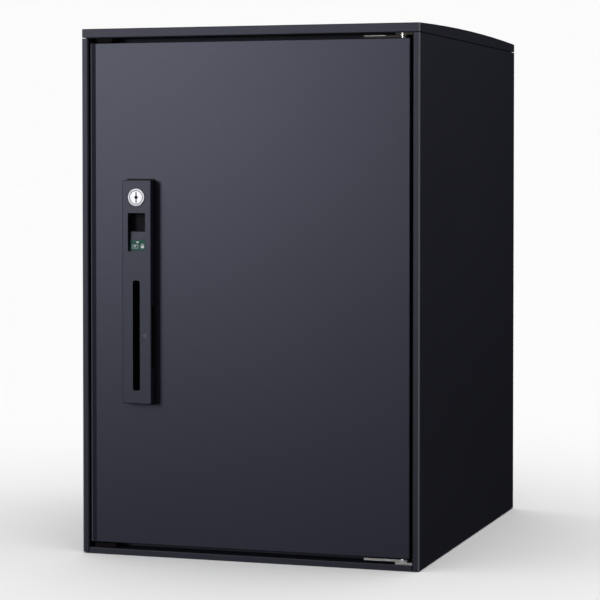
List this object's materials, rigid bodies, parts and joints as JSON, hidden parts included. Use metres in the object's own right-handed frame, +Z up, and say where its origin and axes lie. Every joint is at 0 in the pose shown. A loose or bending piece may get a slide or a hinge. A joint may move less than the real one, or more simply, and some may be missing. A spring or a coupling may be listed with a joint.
{
  "type": "parcel locker",
  "caption": "Steel parcel locker with a hinged door, slide-to-lock handle bar with slip slot, key lock and two-point rods.",
  "frame": {"origin": "on the underside, at the centre of the four anchor holes, which is the centre of the cabinet's width and depth", "axes": "+X to the right of the person who faces the door, -Y out of the door, +Z up"},
  "size_m": [0.39, 0.4805, 0.59],
  "materials": {
    "black_powder_coat": "matte",
    "black_cast_bar": "matte",
    "black_rubber": "matte",
    "magnet": "satin",
    "black_moulding": "satin",
    "stainless": "satin",
    "zinc_plate": "satin",
    "painted_rivet": "matte",
    "chrome_lock": "gloss",
    "green_label": "satin"
  },
  "bodies": {
    "cabinet": {"left_side_panel": "black_powder_coat", "right_side_panel": "black_powder_coat", "rear_panel": "black_powder_coat", "base_tray": "black_powder_coat", "ceiling_panel": "black_powder_coat", "roof_cap": "black_powder_coat", "header_rail": "black_powder_coat", "catch_magnet": "magnet", "magnet_housing": "black_moulding", "lower_strike": "black_moulding", "upper_strike": "black_moulding", "strike_screws": "zinc_plate", "lower_frame_leaf": "stainless", "upper_frame_leaf": "stainless", "lower_hinge_pin": "stainless", "upper_hinge_pin": "stainless", "hinge_washers": "stainless", "frame_leaf_screws": "zinc_plate", "rear_rivets": "painted_rivet", "base_rivets": "painted_rivet", "roof_screws": "zinc_plate"},
    "door": {"door_skin": "black_powder_coat", "door_inner_panel": "black_powder_coat", "door_seal": "black_rubber", "door_stiffener": "black_powder_coat", "inner_panel_rivets": "painted_rivet", "lower_door_leaf": "stainless", "upper_door_leaf": "stainless", "hinge_spacers": "black_moulding", "door_leaf_screws": "zinc_plate", "bar_gasket": "black_rubber", "handle_bar": "black_cast_bar", "handle_bar_screws": "zinc_plate", "slip_guide": "black_moulding", "stamp_platen": "black_rubber", "lock_body": "chrome_lock", "lock_nut": "zinc_plate", "mechanism_cover": "black_moulding", "cover_screws": "zinc_plate", "rod_guides": "black_moulding", "rocker_stud": "zinc_plate"},
    "slider": {"slider_tile": "black_moulding", "status_label": "green_label", "slider_plate": "zinc_plate", "slider_screw": "zinc_plate", "lower_lock_rod": "zinc_plate"},
    "upper_rod": {"upper_lock_rod": "zinc_plate"},
    "rocker": {"lock_rocker": "zinc_plate"},
    "stamp": {"stamp_carriage": "black_moulding", "stamp_cup": "black_moulding"},
    "plug": {"lock_plug": "chrome_lock", "lock_cam": "zinc_plate", "cam_screw": "zinc_plate"},
    "lid": {"stamp_lid": "black_moulding"}
  },
  "joints": [
    {"name": "door_swing", "type": "hinge", "parent": "cabinet", "child": "door", "pos_m": [0.1757, -0.22675, 0.29], "axis": [0, 0, 1], "range_deg": [0, 110]},
    {"name": "lock_slide", "type": "slide", "parent": "door", "child": "slider", "axis": [0, 0, -1], "range_m": [0, 0.014]},
    {"name": "upper_rod_slide", "type": "slide", "parent": "door", "child": "upper_rod", "axis": [0, 0, 1], "range_m": [0, 0.014]},
    {"name": "rocker_turn", "type": "hinge", "parent": "door", "child": "rocker", "pos_m": [-0.157, -0.2307, 0.3867], "axis": [0, 1, 0], "range_deg": [0, 60.52]},
    {"name": "stamp_slide", "type": "slide", "parent": "door", "child": "stamp", "axis": [-1, 0, 0], "range_m": [0, 0.005]},
    {"name": "key_turn", "type": "hinge", "parent": "door", "child": "plug", "pos_m": [-0.123, -0.24, 0.3994], "axis": [0, -1, 0], "range_deg": [0, 90]},
    {"name": "stamp_lid_turn", "type": "hinge", "parent": "door", "child": "lid", "pos_m": [-0.10065, -0.16695, 0.2257], "axis": [-1, 0, 0], "range_deg": [0, 95]}
  ],
  "couplings": [
    {"joint": "upper_rod_slide", "follows": "lock_slide", "ratio": 1},
    {"joint": "rocker_turn", "follows": "lock_slide", "rad_per_m": 75.439},
    {"joint": "stamp_slide", "follows": "lock_slide", "ratio": 0.35714}
  ]
}
